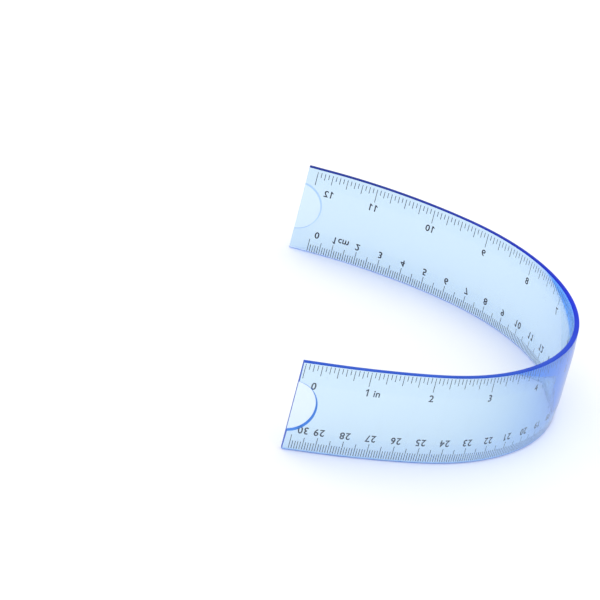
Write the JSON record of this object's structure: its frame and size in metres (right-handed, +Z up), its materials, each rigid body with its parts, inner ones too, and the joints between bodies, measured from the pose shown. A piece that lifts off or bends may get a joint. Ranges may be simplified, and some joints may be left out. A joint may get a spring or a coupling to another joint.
{
  "type": "flexible ruler",
  "caption": "Flexible clear blue plastic ruler with inch and centimetre scales and thumb recesses, bent in a U and standing on its long edge.",
  "frame": {"origin": "under the middle of the whole outline, on the surface that the ruler stands on", "axes": "+X along the strip's near end towards the bend, +Y from the near arm to the far arm, +Z up across the strip's width"},
  "size_m": [0.12, 0.1786, 0.037],
  "materials": {
    "strip": "clear blue tinted soft plastic, smooth and glossy",
    "ink": "printed ink"
  },
  "bodies": {
    "section_01": {"strip_section_01": "strip", "scale_marks_01": "ink"},
    "section_02": {"strip_section_02": "strip", "scale_marks_02": "ink"},
    "section_03": {"strip_section_03": "strip", "scale_marks_03": "ink"},
    "section_04": {"strip_section_04": "strip", "scale_marks_04": "ink"},
    "section_05": {"strip_section_05": "strip", "scale_marks_05": "ink"},
    "section_06": {"strip_section_06": "strip", "scale_marks_06": "ink"},
    "section_07": {"strip_section_07": "strip", "scale_marks_07": "ink"},
    "section_08": {"strip_section_08": "strip", "scale_marks_08": "ink"},
    "section_09": {"strip_section_09": "strip", "scale_marks_09": "ink"},
    "section_10": {"strip_section_10": "strip", "scale_marks_10": "ink"},
    "section_11": {"strip_section_11": "strip", "scale_marks_11": "ink"},
    "section_12": {"strip_section_12": "strip", "scale_marks_12": "ink"},
    "section_13": {"strip_section_13": "strip", "scale_marks_13": "ink"},
    "section_14": {"strip_section_14": "strip", "scale_marks_14": "ink"},
    "section_15": {"strip_section_15": "strip", "scale_marks_15": "ink"},
    "section_16": {"strip_section_16": "strip", "scale_marks_16": "ink"},
    "section_17": {"strip_section_17": "strip", "scale_marks_17": "ink"},
    "section_18": {"strip_section_18": "strip", "scale_marks_18": "ink"},
    "section_19": {"strip_section_19": "strip", "scale_marks_19": "ink"},
    "section_20": {"strip_section_20": "strip", "scale_marks_20": "ink"},
    "section_21": {"strip_section_21": "strip", "scale_marks_21": "ink"},
    "section_22": {"strip_section_22": "strip", "scale_marks_22": "ink"},
    "section_23": {"strip_section_23": "strip", "scale_marks_23": "ink"},
    "section_24": {"strip_section_24": "strip", "scale_marks_24": "ink"},
    "section_25": {"strip_section_25": "strip", "scale_marks_25": "ink"}
  },
  "joints": [
    {"name": "bend_01", "type": "hinge", "parent": "section_02", "child": "section_01", "pos_m": [-0.04394, -0.08757, 0.0185], "axis": [0, 0, -1], "range_deg": [-2.82, 5.5], "stiffness_Nm_per_rad": 0.15},
    {"name": "bend_02", "type": "hinge", "parent": "section_03", "child": "section_02", "pos_m": [-0.03189, -0.08664, 0.0185], "axis": [0, 0, -1], "range_deg": [-2.43, 5.5], "stiffness_Nm_per_rad": 0.15},
    {"name": "bend_03", "type": "hinge", "parent": "section_04", "child": "section_03", "pos_m": [-0.01989, -0.08519, 0.0185], "axis": [0, 0, -1], "range_deg": [-2.43, 5.5], "stiffness_Nm_per_rad": 0.15},
    {"name": "bend_04", "type": "hinge", "parent": "section_05", "child": "section_04", "pos_m": [-0.00796, -0.08324, 0.0185], "axis": [0, 0, -1], "range_deg": [-4.65, 5.5], "stiffness_Nm_per_rad": 0.15},
    {"name": "bend_05", "type": "hinge", "parent": "section_06", "child": "section_05", "pos_m": [0.00377, -0.08033, 0.0185], "axis": [0, 0, -1], "range_deg": [-8.66, 5.5], "stiffness_Nm_per_rad": 0.15},
    {"name": "bend_06", "type": "hinge", "parent": "section_07", "child": "section_06", "pos_m": [0.01493, -0.07568, 0.0185], "axis": [0, 0, -1], "range_deg": [-8.66, 5.5], "stiffness_Nm_per_rad": 0.15},
    {"name": "bend_07", "type": "hinge", "parent": "section_08", "child": "section_07", "pos_m": [0.02526, -0.06941, 0.0185], "axis": [0, 0, -1], "range_deg": [-8.66, 5.5], "stiffness_Nm_per_rad": 0.15},
    {"name": "bend_08", "type": "hinge", "parent": "section_09", "child": "section_08", "pos_m": [0.03453, -0.06166, 0.0185], "axis": [0, 0, -1], "range_deg": [-8.66, 5.5], "stiffness_Nm_per_rad": 0.15},
    {"name": "bend_09", "type": "hinge", "parent": "section_10", "child": "section_09", "pos_m": [0.04253, -0.0526, 0.0185], "axis": [0, 0, -1], "range_deg": [-8.66, 5.5], "stiffness_Nm_per_rad": 0.15},
    {"name": "bend_10", "type": "hinge", "parent": "section_11", "child": "section_10", "pos_m": [0.04908, -0.04243, 0.0185], "axis": [0, 0, -1], "range_deg": [-8.66, 5.5], "stiffness_Nm_per_rad": 0.15},
    {"name": "bend_11", "type": "hinge", "parent": "section_12", "child": "section_11", "pos_m": [0.05402, -0.0314, 0.0185], "axis": [0, 0, -1], "range_deg": [-8.66, 5.5], "stiffness_Nm_per_rad": 0.15},
    {"name": "bend_12", "type": "hinge", "parent": "section_13", "child": "section_12", "pos_m": [0.05724, -0.01975, 0.0185], "axis": [0, 0, -1], "range_deg": [-8.66, 5.5], "stiffness_Nm_per_rad": 0.15},
    {"name": "bend_13", "type": "hinge", "parent": "section_13", "child": "section_14", "pos_m": [0.05867, -0.00775, 0.0185], "axis": [0, 0, 1], "range_deg": [-8.66, 5.5], "stiffness_Nm_per_rad": 0.15},
    {"name": "bend_14", "type": "hinge", "parent": "section_14", "child": "section_15", "pos_m": [0.05828, 0.00433, 0.0185], "axis": [0, 0, 1], "range_deg": [-8.66, 5.5], "stiffness_Nm_per_rad": 0.15},
    {"name": "bend_15", "type": "hinge", "parent": "section_15", "child": "section_16", "pos_m": [0.05608, 0.01621, 0.0185], "axis": [0, 0, 1], "range_deg": [-8.66, 5.5], "stiffness_Nm_per_rad": 0.15},
    {"name": "bend_16", "type": "hinge", "parent": "section_16", "child": "section_17", "pos_m": [0.05211, 0.02763, 0.0185], "axis": [0, 0, 1], "range_deg": [-8.66, 5.5], "stiffness_Nm_per_rad": 0.15},
    {"name": "bend_17", "type": "hinge", "parent": "section_17", "child": "section_18", "pos_m": [0.04647, 0.03832, 0.0185], "axis": [0, 0, 1], "range_deg": [-8.66, 5.5], "stiffness_Nm_per_rad": 0.15},
    {"name": "bend_18", "type": "hinge", "parent": "section_18", "child": "section_19", "pos_m": [0.03928, 0.04804, 0.0185], "axis": [0, 0, 1], "range_deg": [-8.66, 5.5], "stiffness_Nm_per_rad": 0.15},
    {"name": "bend_19", "type": "hinge", "parent": "section_19", "child": "section_20", "pos_m": [0.03072, 0.05657, 0.0185], "axis": [0, 0, 1], "range_deg": [-8.66, 5.5], "stiffness_Nm_per_rad": 0.15},
    {"name": "bend_20", "type": "hinge", "parent": "section_20", "child": "section_21", "pos_m": [0.02097, 0.06371, 0.0185], "axis": [0, 0, 1], "range_deg": [-4.47, 5.5], "stiffness_Nm_per_rad": 0.15},
    {"name": "bend_21", "type": "hinge", "parent": "section_21", "child": "section_22", "pos_m": [0.01069, 0.07007, 0.0185], "axis": [0, 0, 1], "range_deg": [-4.33, 5.5], "stiffness_Nm_per_rad": 0.15},
    {"name": "bend_22", "type": "hinge", "parent": "section_22", "child": "section_23", "pos_m": [-0.00004, 0.07563, 0.0185], "axis": [0, 0, 1], "range_deg": [-4.33, 5.5], "stiffness_Nm_per_rad": 0.15},
    {"name": "bend_23", "type": "hinge", "parent": "section_23", "child": "section_24", "pos_m": [-0.01116, 0.08037, 0.0185], "axis": [0, 0, 1], "range_deg": [-4.33, 5.5], "stiffness_Nm_per_rad": 0.15},
    {"name": "bend_24", "type": "hinge", "parent": "section_24", "child": "section_25", "pos_m": [-0.02261, 0.08426, 0.0185], "axis": [0, 0, 1], "range_deg": [-5.03, 5.5], "stiffness_Nm_per_rad": 0.15}
  ]
}
